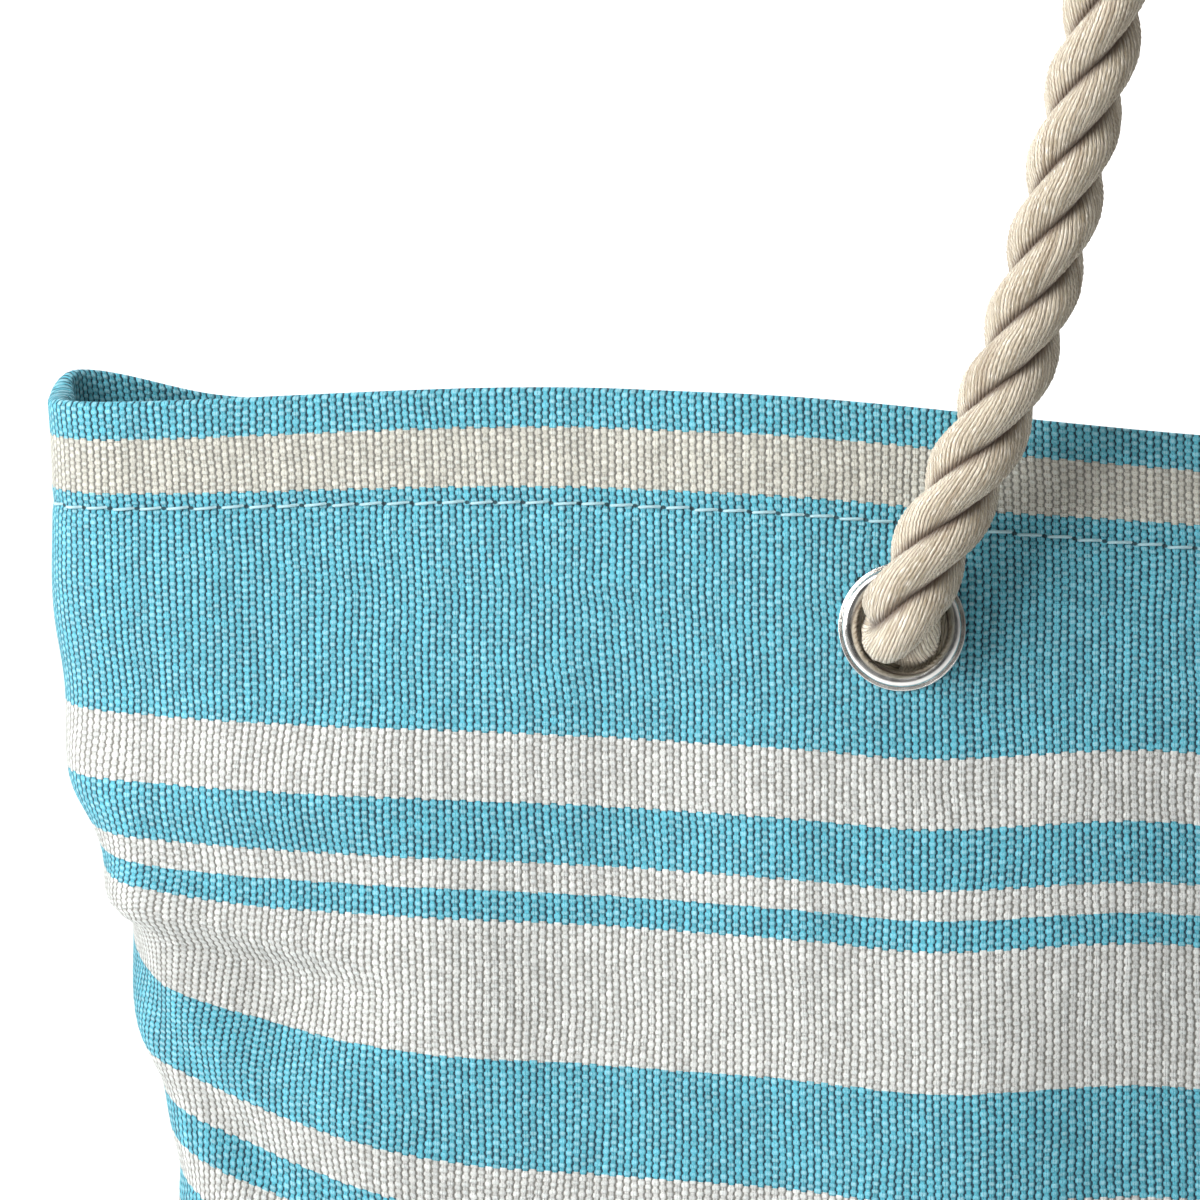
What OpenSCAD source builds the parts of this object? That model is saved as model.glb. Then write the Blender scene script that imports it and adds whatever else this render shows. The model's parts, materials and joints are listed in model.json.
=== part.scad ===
// Beach bag: a soft canvas tote with a boxed base and two twisted rope handles.
// It stands on its base with the front handle up and the back handle hanging down behind.
// Up is +Z, the front faces -Y, and the origin is the middle of the base's underside.
//
// Every level of a wall is one run of cloth of the same length, so a wall is drawn by
// walking along the cloth from a side seam (s = 0) to the middle of the bag (s = half_w),
// turning the corner on the way. f is the height on the wall, 0 at the base, 1 at the rim.

/* [Cloth] */
// Width of the front or back cloth between its side seams, laid flat
cloth_w = 600; // [560:10:640]
// Height of the walls at the side seams
bag_h = 380; // [350:10:410]
// Depth of the base from front to back
base_d = 160; // [150:10:170]
// Thickness of the striped canvas
cloth_t = 1.6; // [1.2:0.1:2]
// Thickness of the lining
lining_t = 0.6; // [0.4:0.1:0.8]
// Height of the folded hem round the rim
hem_h = 25; // [20:1:30]
// Rise of the front rim where the standing handle holds it up
front_lift = 9; // [0:1:12]
// Sag of the back rim in its middle
back_sag = 24; // [10:1:28]
// Rise of the back rim where it leaves a corner
back_corner_lift = 4; // [0:0.5:5]
// Greatest turn of the front cloth between its corner and its middle, in degrees
front_bow = 21.5; // [15:0.5:23]
// Greatest turn of the back cloth between its corner and its middle, in degrees
back_bow = 17; // [12:0.5:19]

/* [Eyelets] */
// Outer diameter of an eyelet's flange
eyelet_d = 28; // [27:0.5:32]
// Diameter of the hole through an eyelet
eyelet_bore_d = 19.4; // [19:0.1:20]
// Wall of an eyelet's barrel
barrel_t = 1; // [0.8:0.1:1.2]
// Distance along the cloth from a side seam to an eyelet's centre
eyelet_s = 210; // [190:1:225]
// Distance of the eyelets' centres below the rim
eyelet_drop = 45; // [44:1:60]

/* [Rope] */
// Diameter of the rope
rope_d = 18; // [16:0.5:18]
// Diameter of a stopper knot
knot_d = 46; // [40:1:48]
// Length of a stopper knot
knot_l = 42; // [36:1:44]
// Length of the tail that hangs from a stopper knot
tail_l = 48; // [40:1:56]

/* [Hidden] */

LEFT = -1;
RIGHT = 1;
// A side of the bag: [direction along Y, greatest bow, angle over which the bow comes and goes]
FRONT = [-1, front_bow, 130];
BACK = [1, back_bow, 140];

STRIPE_BLUE = [0.42, 0.68, 0.75];
LINING_WHITE = [0.93, 0.92, 0.88];
NICKEL = [0.78, 0.77, 0.75];
COTTON = [0.86, 0.81, 0.72];

half_w = cloth_w / 2;
rope_r = rope_d / 2;
gap = 0.3;

// The corner that the cloth turns: its distance from the side seam at the rim, the depth over
// which it stays there, the depth over which it then moves out to its place at the base, and
// the length of cloth in the turn at the rim and at the base
rim_corner_s = 14;
rim_corner_depth = 40;
corner_growth_depth = 310;
rim_turn_w = 28;
base_turn_w = 44;
// Where the middle part of the cloth starts to straighten out
bow_end_s = 140;

// Columns lie close together where the cloth turns the corner, and wider beyond it
corner_cols = 16;
corner_span = 112;
cols = 28;
col_s = [
    for (i = [0:cols])
        i < corner_cols
            ? corner_span * i / corner_cols
            : corner_span + (half_w - corner_span) * (i - corner_cols) / (cols - corner_cols)
];
wall_depths = [0, 12, hem_h, hem_h + 0.5, 34, 45, 58, 75, 96, 124, 156, 194, 238, 284, 328, 360, bag_h];
// The lining bends where the wall does, so that the two stay the same distance apart
lining_depths = [hem_h + 2, for (d = wall_depths) if (d > hem_h + 2 && d < bag_h - 3) d, bag_h - 3];

// Rolled flange: a ring of this radius, sunk so that its edge stands just off the cloth
flange_r = (eyelet_d - eyelet_bore_d) / 4;
flange_mid_r = (eyelet_d + eyelet_bore_d) / 4;
flange_top = flange_r + gap;
washer_t = 1;
// A flat washer stands off the bowed lining, and a handle off the flange that it swings over
washer_gap = 0.6;
handle_gap = 0.7;
// Depths below the cloth's face, along an eyelet's axis
lining_back = cloth_t + gap + lining_t;
washer_back = lining_back + washer_gap + washer_t;
hole_r = eyelet_bore_d / 2 + barrel_t + gap;
hinge_h = flange_top + handle_gap + rope_r;

// The handles' routes, from the left eyelet to the middle of the bag: [across, up, out]
front_route = [
    [0, 0, 0], [10, 21, 0], [20, 43, 0], [28, 65, 0], [34, 87, 0], [39, 109, 0], [44, 131, 0],
    [47, 153, 0], [50, 175, 0], [53, 196, 0], [59, 216, 0], [68, 233, 0], [80, 243, 0],
    [93, 246, 0],
];
back_route = [
    [0, 0, 0], [-1, -24, 7], [-1, -48, 14], [0, -72, 21], [2, -97, 27], [5, -122, 32],
    [10, -146, 36], [18, -169, 39], [29, -190, 41], [43, -207, 42], [58, -219, 42],
    [74, -226, 42], [91, -228, 42],
];
rope_sides = 12;
cap_angles = [80, 55, 27];

// --- Cloth -----------------------------------------------------------------------------

function ramp(t) =
    let (c = min(1, max(0, t)))
    c * c * (3 - 2 * c);

function corner_s(f) =
    let (depth = bag_h * (1 - f))
    rim_corner_s + (base_d / 2 - rim_corner_s) * ramp((depth - rim_corner_depth) / corner_growth_depth);

function turn_w(f) = base_turn_w + (rim_turn_w - base_turn_w) * f;

function bow(f, side) = side[1] * sin(side[2] * f);

// Direction of the cloth, from straight out at the side seam to straight across in the middle
function heading(s, f, side) =
    -90
    + (90 - bow(f, side)) * ramp((s - corner_s(f)) / turn_w(f) + 0.5)
    + bow(f, side) * ramp((s - bow_end_s) / (half_w - bow_end_s));

function step_xy(i, f, side) =
    let (h = heading((col_s[i] + col_s[i - 1]) / 2, f, side))
    (col_s[i] - col_s[i - 1]) * [cos(h), sin(h)];

function walk(f, side) = [
    for (i = 0, p = [0, 0]; i <= cols; i = i + 1, p = p + step_xy(min(i, cols), f, side)) p
];

// Half the bag's width at the side seams, which the back cloth shares with the front cloth
function seam_x(f) = walk(f, FRONT)[cols].x;

function half_row(f, side) =
    let (w = walk(f, side), k = seam_x(f) / w[cols].x)
    [for (p = w) [k * (p.x - w[cols].x), -side[0] * p.y]];

function rim_rise(s, side) =
    side[0] < 0
        ? front_lift * (ramp(s / (half_w / 2)) - ramp((s - 0.57 * half_w) / (half_w / 2)))
        : back_corner_lift * (ramp(s / 16) - ramp((s - 18) / 34))
            - back_sag * pow(1 - pow(1 - s / half_w, 2), 1.6);

function level(s, f, side) = base_t() + f * (bag_h - base_t() + rim_rise(s, side) * f * f);

function base_t() = cloth_t;

// Any point of a wall's outer face
function wall_at(s, f, side) =
    let (r = half_row(f, side))
    [
        lookup(s, [for (i = [0:cols]) [col_s[i], r[i].x]]),
        lookup(s, [for (i = [0:cols]) [col_s[i], r[i].y]]),
        level(s, f, side),
    ];

// A full row of points, from the left seam to the right one
function full_row(f, side) =
    let (r = half_row(f, side))
    [
        for (k = [0:2 * cols])
            let (i = min(k, 2 * cols - k), hand = k <= cols ? 1 : -1)
            [hand * r[i].x, r[i].y, level(col_s[i], f, side)]
    ];

function unit(v) = v / norm(v);

// Outward direction at a grid point, level at the base and square to the seams
function outward(g, j, k, side) =
    let (
        along = g[j][min(k + 1, 2 * cols)] - g[j][max(k - 1, 0)],
        up = g[min(j + 1, len(g) - 1)][k] - g[max(j - 1, 0)][k],
        n = side[0] * cross(up, along),
        at_seam = k == 0 || k == 2 * cols,
        at_base = g[j][k].z <= base_t()
    )
    unit([n.x, at_seam ? 0 : n.y, at_base ? 0 : n.z]);

function inset(g, side, t) = [
    for (j = [0:len(g) - 1]) [for (k = [0:2 * cols]) g[j][k] - t[j] * outward(g, j, k, side)]
];

// A closed shell between an outer and an inner grid of points
function quads(n, m, base, flip) = [
    for (j = [0:n - 2])
        for (k = [0:m - 2])
            let (
                a = base + j * m + k,
                q = [a, a + 1, a + m + 1, a + m]
            )
            each flip ? [[q[0], q[2], q[1]], [q[0], q[3], q[2]]] : [[q[0], q[1], q[2]], [q[0], q[2], q[3]]]
];

function rim_loop(n, m) = [
    for (k = [0:m - 2]) k,
    for (j = [0:n - 2]) j * m + m - 1,
    for (k = [m - 1:-1:1]) (n - 1) * m + k,
    for (j = [n - 1:-1:1]) j * m,
];

module shell(outer, inner, flip) {
    n = len(outer);
    m = len(outer[0]);
    edge = rim_loop(n, m);
    e = len(edge);
    sides = [
        for (i = [0:e - 1])
            let (a = edge[i], b = edge[(i + 1) % e], c = b + n * m, d = a + n * m)
            each flip ? [[a, b, c], [a, c, d]] : [[a, c, b], [a, d, c]]
    ];
    polyhedron(
        points = [for (row = outer) each row, for (row = inner) each row],
        faces = concat(quads(n, m, 0, !flip), quads(n, m, n * m, flip), sides)
    );
}

module wall(side) {
    fs = [for (i = [len(wall_depths) - 1:-1:0]) 1 - wall_depths[i] / bag_h];
    grid = [for (f = fs) full_row(f, side)];
    hem_f = 1 - hem_h / bag_h;
    thick = [for (f = fs) f >= hem_f ? 2 * cloth_t : cloth_t];
    difference() {
        shell(grid, inset(grid, side, thick), side[0] < 0);
        eyelet_holes(side);
    }
}

module wall_lining(side) {
    fs = [for (i = [len(lining_depths) - 1:-1:0]) 1 - lining_depths[i] / bag_h];
    grid = [for (f = fs) full_row(f, side)];
    near = [for (f = fs) cloth_t + gap];
    far = [for (f = fs) lining_back];
    difference() {
        shell(inset(grid, side, near), inset(grid, side, far), side[0] < 0);
        eyelet_holes(side);
    }
}

function base_outline(in) = [
    for (p = full_row(0, FRONT)) [p.x, p.y] * (1 - in / base_d * 2),
    for (k = [2 * cols - 1:-1:1]) let (p = full_row(0, BACK)[k]) [p.x, p.y] * (1 - in / base_d * 2),
];

// --- Eyelets ---------------------------------------------------------------------------

eyelet_f = 1 - eyelet_drop / bag_h;

// Centre and outward direction of the left eyelet on a side of the bag
function eyelet_centre(side) = wall_at(eyelet_s, eyelet_f, side);

function eyelet_axis(side) =
    let (
        reach = eyelet_d / 2,
        along = wall_at(eyelet_s + reach, eyelet_f, side) - wall_at(eyelet_s - reach, eyelet_f, side),
        up = wall_at(eyelet_s, eyelet_f + reach / bag_h, side)
            - wall_at(eyelet_s, eyelet_f - reach / bag_h, side)
    )
    unit(side[0] * cross(up, along));

function hinge_point(side) = eyelet_centre(side) + hinge_h * eyelet_axis(side);

// Puts its children on an eyelet's axis, with +Z outwards and 0 on the cloth's face
module on_eyelet(side, hand) {
    c = eyelet_centre(side);
    n = eyelet_axis(side);
    mirror([hand == RIGHT ? 1 : 0, 0, 0])
        translate(c)
            rotate([0, acos(n.z), atan2(n.y, n.x)])
                children();
}

module eyelet_holes(side) {
    for (hand = [LEFT, RIGHT])
        on_eyelet(side, hand)
            cylinder(h = 4 * flange_top, r = hole_r, center = true, $fn = 48);
}

// Rolled flange and barrel, one pressed piece
module eyelet(side, hand) {
    color(NICKEL)
        on_eyelet(side, hand)
            rotate_extrude($fn = 64) {
                intersection() {
                    translate([flange_mid_r, gap])
                        circle(r = flange_r, $fn = 32);
                    translate([0, gap])
                        square([eyelet_d, flange_r]);
                }
                translate([eyelet_bore_d / 2, -washer_back])
                    square([barrel_t, washer_back + gap + flange_r / 2]);
            }
}

module washer(side, hand) {
    color(NICKEL)
        on_eyelet(side, hand)
            translate([0, 0, -washer_back])
                rotate_extrude($fn = 64)
                    translate([eyelet_bore_d / 2 + barrel_t, 0])
                        square([eyelet_d / 2 - eyelet_bore_d / 2 - barrel_t, washer_t]);
}

// --- Rope ------------------------------------------------------------------------------

// The rope through an eyelet, its stopper knot inside the bag, and the tail that hangs from it
module rope_end(side, hand) {
    knot_mid = -washer_back - gap - knot_l / 2;
    down = acos(eyelet_axis(side).z);
    color(COTTON)
        on_eyelet(side, hand) {
            translate([0, 0, knot_mid])
                cylinder(h = flange_top - knot_mid, r = rope_r, $fn = 48);
            translate([0, 0, knot_mid])
                rotate_extrude($fn = 48)
                    intersection() {
                        circle(r = knot_d / 2, $fn = 48);
                        translate([0, -knot_l / 2])
                            square([knot_d / 2, knot_l]);
                    }
            translate([0, 0, knot_mid])
                rotate([0, 180 - down, 0]) {
                    cylinder(h = tail_l, r = rope_r, $fn = 48);
                }
        }
}

function full_route(half) = concat(
    half,
    [for (i = [len(half) - 2:-1:0]) [2 * half[len(half) - 1].x - half[i].x, half[i].y, half[i].z]]
);

// A route set at its hinge, stretched across to reach the other eyelet
function route_points(half, side) =
    let (h = hinge_point(side), k = -h.x / half[len(half) - 1].x)
    [for (p = full_route(half)) [h.x + k * p.x, h.y + side[0] * p.z, h.z + p.y]];

function tangent(pts, i) = unit(pts[min(i + 1, len(pts) - 1)] - pts[max(i - 1, 0)]);

function ring(c, t, r) =
    let (a = unit(cross([0, 1, 0], t)), b = cross(t, a), turn = 360 / rope_sides)
    [for (k = [0:rope_sides - 1]) c + r * (cos(k * turn) * a + sin(k * turn) * b)];

// A tube along a route with a round cap at each end
module tube(pts) {
    last = len(pts) - 1;
    t0 = tangent(pts, 0);
    t1 = tangent(pts, last);
    rings = concat(
        [for (a = cap_angles) ring(pts[0] - rope_r * sin(a) * t0, t0, rope_r * cos(a))],
        [for (i = [0:last]) ring(pts[i], tangent(pts, i), rope_r)],
        [for (i = [len(cap_angles) - 1:-1:0])
            ring(pts[last] + rope_r * sin(cap_angles[i]) * t1, t1, rope_r * cos(cap_angles[i]))]
    );
    n = len(rings);
    m = rope_sides;
    polyhedron(
        points = [for (r = rings) each r],
        faces = concat(
            [[for (k = [0:m - 1]) k]],
            [for (j = [0:n - 2]) for (k = [0:m - 1])
                [j * m + k, (j + 1) * m + k, (j + 1) * m + (k + 1) % m, j * m + (k + 1) % m]],
            [[for (k = [m - 1:-1:0]) (n - 1) * m + k]]
        )
    );
}

// --- The pieces ------------------------------------------------------------------------

module front_panel() { color(STRIPE_BLUE) wall(FRONT); }
module back_panel() { color(STRIPE_BLUE) wall(BACK); }
module base_panel() { color(STRIPE_BLUE) linear_extrude(base_t()) polygon(base_outline(0)); }

module front_lining() { color(LINING_WHITE) wall_lining(FRONT); }
module back_lining() { color(LINING_WHITE) wall_lining(BACK); }
module base_lining() {
    color(LINING_WHITE)
        translate([0, 0, base_t() + gap])
            linear_extrude(lining_t)
                polygon(base_outline(2 * cloth_t));
}

module front_handle() { color(COTTON) tube(route_points(front_route, FRONT)); }
module back_handle() { color(COTTON) tube(route_points(back_route, BACK)); }

front_panel();
back_panel();
base_panel();
front_lining();
back_lining();
base_lining();
eyelet(FRONT, LEFT);  // front_left_eyelet
eyelet(FRONT, RIGHT);  // front_right_eyelet
eyelet(BACK, LEFT);  // back_left_eyelet
eyelet(BACK, RIGHT);  // back_right_eyelet
washer(FRONT, LEFT);  // front_left_washer
washer(FRONT, RIGHT);  // front_right_washer
washer(BACK, LEFT);  // back_left_washer
washer(BACK, RIGHT);  // back_right_washer
rope_end(FRONT, LEFT);  // front_left_rope_end
rope_end(FRONT, RIGHT);  // front_right_rope_end
rope_end(BACK, LEFT);  // back_left_rope_end
rope_end(BACK, RIGHT);  // back_right_rope_end
front_handle();
back_handle();
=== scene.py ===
"""Looks of the striped canvas beach bag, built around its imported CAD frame.

Lengths are in millimetres while a shape is worked out, as in the CAD source, and turn into metres
when its mesh is made. A wall's points are named by u, the distance along the cloth from the middle
of the bag, and by depth, the distance down from the rim.
"""

import json
import math

import bpy
import numpy as np
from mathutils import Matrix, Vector


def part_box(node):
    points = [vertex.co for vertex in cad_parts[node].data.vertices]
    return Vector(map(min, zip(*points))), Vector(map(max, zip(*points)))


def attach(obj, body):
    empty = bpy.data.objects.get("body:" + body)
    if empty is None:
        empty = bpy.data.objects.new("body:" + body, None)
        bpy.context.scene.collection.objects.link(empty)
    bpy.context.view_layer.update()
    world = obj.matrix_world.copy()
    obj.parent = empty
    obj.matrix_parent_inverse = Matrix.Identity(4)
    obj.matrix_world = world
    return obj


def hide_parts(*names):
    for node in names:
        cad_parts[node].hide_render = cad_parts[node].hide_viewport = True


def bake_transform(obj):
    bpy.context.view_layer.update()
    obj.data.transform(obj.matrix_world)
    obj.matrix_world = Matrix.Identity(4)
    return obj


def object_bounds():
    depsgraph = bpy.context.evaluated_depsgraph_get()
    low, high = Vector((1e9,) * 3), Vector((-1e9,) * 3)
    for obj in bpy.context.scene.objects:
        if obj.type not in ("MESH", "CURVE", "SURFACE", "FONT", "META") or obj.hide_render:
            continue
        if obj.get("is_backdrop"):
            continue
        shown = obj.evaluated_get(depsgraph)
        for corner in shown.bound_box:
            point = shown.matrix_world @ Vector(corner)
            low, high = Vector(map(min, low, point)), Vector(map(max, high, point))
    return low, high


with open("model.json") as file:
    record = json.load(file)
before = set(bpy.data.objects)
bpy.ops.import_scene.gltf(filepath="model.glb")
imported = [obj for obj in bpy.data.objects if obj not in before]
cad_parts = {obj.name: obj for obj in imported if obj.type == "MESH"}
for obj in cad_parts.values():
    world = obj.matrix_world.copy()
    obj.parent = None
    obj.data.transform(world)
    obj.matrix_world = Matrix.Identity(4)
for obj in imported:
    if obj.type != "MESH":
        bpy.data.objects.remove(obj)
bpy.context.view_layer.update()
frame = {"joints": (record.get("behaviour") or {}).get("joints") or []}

MM = 0.001

# Cloth
HALF_W = 300
BAG_H = 380
BASE_D = 160
CLOTH_T = 1.6
LINING_T = 0.6
GAP = 0.3
HEM_H = 25
STITCH_DEPTH = 23.8
STITCH_PITCH = 6.5
STITCH_L = 5.5
HOLE_U = STITCH_L + 0.45 - STITCH_PITCH / 2
HOLE_HALF_W = 0.8
HOLE_HALF_H = 0.55
THREAD_R = 0.33
THREAD_ARCH = 0.80
THREAD_SUNK = 0.30
THREAD_SLANT = 0.45
# The rim: how high the front's lifts between corner and eyelet, the cloth it lifts and sinks over
# and where it starts to sink; and how far the back's sags, and lifts at its corners
FRONT_LIFT = 9
FRONT_LIFT_OVER = 150
FRONT_SINK_FROM = 171
BACK_SAG = 24
BACK_CORNER_LIFT = 4
# Corners in plan: their distance from a side seam and the cloth that they bend, at rim and foot,
# and the depths over which they change
CORNER_RIM = 14
CORNER_FOOT = BASE_D / 2
CORNER_BEND_RIM = 28
CORNER_BEND_FOOT = 44
CORNER_FROM = 40
CORNER_OVER = 310
BOW_FROM = 140
BASE_LINING_INSET = 3.2
# A side of the bag: its direction along Y, its greatest bow, the angle the bow comes and goes over
# in the bag's height, and how far its rope's strands are turned
FRONT = {"name": "front", "out": -1, "bow": 21.5, "span": 130, "turn": 0.0}
BACK = {"name": "back", "out": 1, "bow": 17, "span": 140, "turn": 1.0}
SIDES = (FRONT, BACK)
LEFT, RIGHT = -1, 1
HANDS = {"left": LEFT, "right": RIGHT}

# Eyelets
EYELET_U = 90
EYELET_DEPTH = 45
EYELET_R = 14
EYELET_HOLE_R = 12
BORE_R = 9.7
BARREL_T = 1
WASHER_FRONT = -3.1
WASHER_BACK = -4.1

# Rope
STRANDS = 3
STRAND_R = 4.75
STRAND_OUT = 4.25
LAY = 51.5
YARNS = 34
YARN_LAY = 31
YARN_H = 0.16
ROPE_STEP = 1.25
ROPE_DETAIL = 54
BEND_R = 9.3
KNOT_MID = -25.4
KNOT_LOOP = 4.6
KNOT_STEP = 1.5
KNOT_DETAIL = 20
KNOT_THICK = 0.93
TAIL_L = 48
FRAY_L = 14
FRAY = 0.22

# Handles' routes from the left eyelet's hinge to the middle of the bag: across, up, out
FRONT_ROUTE = [
    (0, 0, 0), (10, 21, 0), (20, 43, 0), (28, 65, 0), (34, 87, 0), (39, 109, 0), (44, 131, 0),
    (47, 153, 0), (50, 175, 0), (53, 196, 0), (59, 216, 0), (68, 233, 0), (80, 243, 0),
    (93, 246, 0),
]
BACK_ROUTE = [
    (0, 0, 0), (-1, -24, 7), (-1, -48, 14), (0, -72, 21), (2, -97, 27), (5, -122, 32),
    (10, -146, 36), (18, -169, 39), (29, -190, 41), (43, -207, 42), (58, -219, 42),
    (74, -226, 42), (91, -228, 42),
]

# Weave: width of a column, height of a thread's float, and how far apart the two walls' patterns are
COLUMN_W = 1.70
FLOAT_H = 1.74
WEAVE_SHIFT = 400
# Distances down the cloth from the rim at which blue and white take turns, blue first
STRIPES = [
    8.5, 20.9, 76.3, 92.1, 104.3, 110.8, 116.9, 148.2, 172.3, 183.5, 193, 200.5, 206.5, 222, 278, 291,
    315, 346, 354, 360, 374, 398, 412, 440, 472, 488, 502, 508, 522, 562,
]
CREAM_END = 23

# Camera: lens and sensor, distance, angle down, and what it looks at, from the front left eyelet
LENS = 221
SENSOR = 36
CAMERA_FAR = 1.6
CAMERA_TILT = 10
LOOK_AT = (-0.0655, 0.003, 0.0052)

# Lamps that shine on the bag: place, size and power; and the one over the floor behind it
LAMPS = {
    "key": ((-0.95, -0.68, 0.85), 0.62, 15.4),
    "left": ((-1.5, 0.0, 0.55), 0.9, 14),
    "top": ((-0.2, -0.2, 1.9), 0.9, 9),
}
BACKDROP = ((0, 5.2, 2.6), 7, 330)
# World light: its strength, and its darkest and palest shade, each with the Y that it starts at in
# the direction of view
WORLD_LIGHT = 0.34
WORLD_DARK = (0.12, -0.96)
WORLD_PALE = (1.0, -0.66)


# --- Camera ----------------------------------------------------------------------------


def aim(obj, target):
    obj.rotation_euler = (Vector(target) - obj.location).to_track_quat("-Z", "Y").to_euler()


def place_camera():
    """Close on the front's upper left, a little above it, with the front left eyelet to the right."""
    low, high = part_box("front_left_eyelet")
    target = (low + high) / 2 + Vector(LOOK_AT)
    tilt = math.radians(CAMERA_TILT)
    data = bpy.data.cameras.new("camera")
    data.lens = LENS
    data.sensor_width = SENSOR
    camera = bpy.data.objects.new("camera", data)
    camera.location = target + CAMERA_FAR * Vector((0, -math.cos(tilt), math.sin(tilt)))
    aim(camera, target)
    bpy.context.scene.collection.objects.link(camera)
    bpy.context.scene.camera = camera


# --- Shape of the walls ----------------------------------------------------------------


def ramp(t):
    """A smooth step from 0 to 1 as t goes from 0 to 1."""
    c = np.clip(t, 0, 1)
    return c * c * (3 - 2 * c)


def heading(s, f, side):
    """Direction of the cloth in plan at a distance s from a side seam and a share f of the height."""
    corner = CORNER_RIM + (CORNER_FOOT - CORNER_RIM) * ramp((BAG_H * (1 - f) - CORNER_FROM) / CORNER_OVER)
    bend = CORNER_BEND_FOOT + (CORNER_BEND_RIM - CORNER_BEND_FOOT) * f
    bow = side["bow"] * np.sin(np.radians(side["span"] * f))
    turn = ramp((s - corner) / bend + 0.5)
    return np.radians(-90 + (90 - bow) * turn + bow * ramp((s - BOW_FROM) / (HALF_W - BOW_FROM)))


def half_plan(f, side):
    """Each level's plan from the left seam to the middle, a point for each millimetre of cloth."""
    steps = heading(np.arange(HALF_W) + 0.5, f[:, None], side)
    start = np.zeros((len(f), 1))
    x = np.hstack([start, np.cumsum(np.cos(steps), axis=1)])
    y = np.hstack([start, np.cumsum(np.sin(steps), axis=1)])
    return x, y


def rim_rise(s, side):
    """How far a side's rim lies above the bag's height."""
    if side is FRONT:
        return FRONT_LIFT * (ramp(s / FRONT_LIFT_OVER) - ramp((s - FRONT_SINK_FROM) / FRONT_LIFT_OVER))
    lift = BACK_CORNER_LIFT * (ramp(s / 16) - ramp((s - 18) / 34))
    return lift - BACK_SAG * (1 - (1 - s / HALF_W) ** 2) ** 1.6


def wall_points(u, depth, side):
    """Points of a wall's face, a row for each depth and a column for each u."""
    f = 1 - depth / BAG_H
    s = np.clip(HALF_W - np.abs(u), 0, HALF_W)
    x, y = half_plan(f, side)
    width = half_plan(f, FRONT)[0][:, -1:]
    x = (x - x[:, -1:]) * width / x[:, -1:]
    left = np.clip(s.astype(int), 0, HALF_W - 1)
    part = s - left
    x = x[:, left] * (1 - part) + x[:, left + 1] * part
    y = y[:, left] * (1 - part) + y[:, left + 1] * part
    rise = rim_rise(s, side)[None, :]
    high = f[:, None]
    z = CLOTH_T + high * (BAG_H - CLOTH_T + rise * high * high)
    return np.stack([-np.sign(u) * x, -side["out"] * y, z], axis=2)


def unit(v):
    return v / np.linalg.norm(v, axis=-1, keepdims=True)


def wall_normals(u, depth, side):
    """Directions out of a wall's face, which both walls share at the side seams and at the foot."""
    along = wall_points(u + 0.6, depth, side) - wall_points(u - 0.6, depth, side)
    up = wall_points(u, depth - 0.6, side) - wall_points(u, depth + 0.6, side)
    n = side["out"] * np.cross(up, along)
    n[:, np.abs(u) > HALF_W - 0.1, 1] = 0
    n[depth > BAG_H - 1, :, 2] = 0
    return unit(n)


# A crease: where it runs, as distances round the bag from a side seam (in front of the seam is
# plus) and depths; how deep it is; its width above and below; and how far the cloth above it bulges
CREASES = {
    LEFT: [
        ([-60, -20, 20, 70], [50, 49, 48, 50], -2.8, (24.0, 18.0), 0.0),
        ([-90, -40, 0, 50, 110], [88, 87, 86, 87, 90], -4.8, (18.0, 11.0), 0.0),
        ([-70, -30, 0, 30, 60, 96], [112, 115, 118, 120, 125, 130], 3.4, (3.0, 14.0), 1.4),
        ([15, 42, 72, 105], [119, 122, 127, 132], 2.2, (3.6, 12.0), 1.2),
        ([5, 30, 46, 60, 80], [116, 134, 152, 170, 196], 2.6, (8.0, 9.0), 1.8),
        ([-40, 0, 30, 60, 110], [147, 149, 156, 167, 188], 3.2, (8.0, 12.0), 1.2),
        ([-50, 0, 30, 70], [172, 168, 174, 188], 2.6, (9.0, 8.0), 0.0),
        ([-120, -60, 0, 60, 110], [226, 236, 231, 218, 214], 4.5, (9.0, 14.0), 2.4),
        ([-90, -30, 10, 50], [300, 292, 296, 308], 3.0, (9.0, 14.0), 1.6),
    ],
    RIGHT: [
        ([-110, -50, 0, 40, 80], [132, 127, 121, 124, 136], 5.0, (5.0, 11.0), 2.4),
        ([-60, -20, 20, 70, 120], [176, 184, 183, 172, 166], 4.2, (6.5, 12.0), 2.2),
        ([-50, 0, 50, 100], [243, 252, 262, 281], 4.0, (8.0, 15.0), 2.0),
    ],
}
# How far the cloth has ridden up: beside each seam, where the creases take up its length; near the
# rim beside the seams; and between the eyelets, where the handle pulls on it
RIDE_UP = {LEFT: 37, RIGHT: 28}
SEAM_RISE = 8.8
MIDDLE_RISE = 7.6
# Sunken lines of the hem's stitches, the side seams and the foot's seam: depth and half width
HEM_LINE = (0.55, 1.5)
SEAM_LINE = (1.0, 2.2)
FOOT_LINE = (1.2, 3.5)
RIM_WAVE = 0.35
# Broad waves of each wall: length across, length down, start, height
WAVES = {
    "front": [(210, 460, 0.9, 2.4), (118, -330, 2.2, 1.5), (67, 210, 4.1, 0.8), (39, -120, 1.2, 0.35)],
    "back": [(180, -390, 2.4, 2.6), (104, 300, 0.4, 1.6), (61, -190, 3.3, 0.8), (43, 140, 5.2, 0.35)],
}


def crease(a, depth, where, deep, wide, bulge):
    """A crease's dent and the bulge above it, where a is the distance round the bag from the seam."""
    ends = ramp((a - where[0][0]) / 28) * ramp((where[0][-1] - a) / 34)
    below = depth - np.interp(a, *where)
    above, under = wide
    dent = -deep * np.exp(-((below / np.where(below < 0, above, under)) ** 2))
    return ends * (dent + bulge * np.exp(-(((below + 2.3 * above) / (1.9 * above)) ** 2)))


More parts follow.
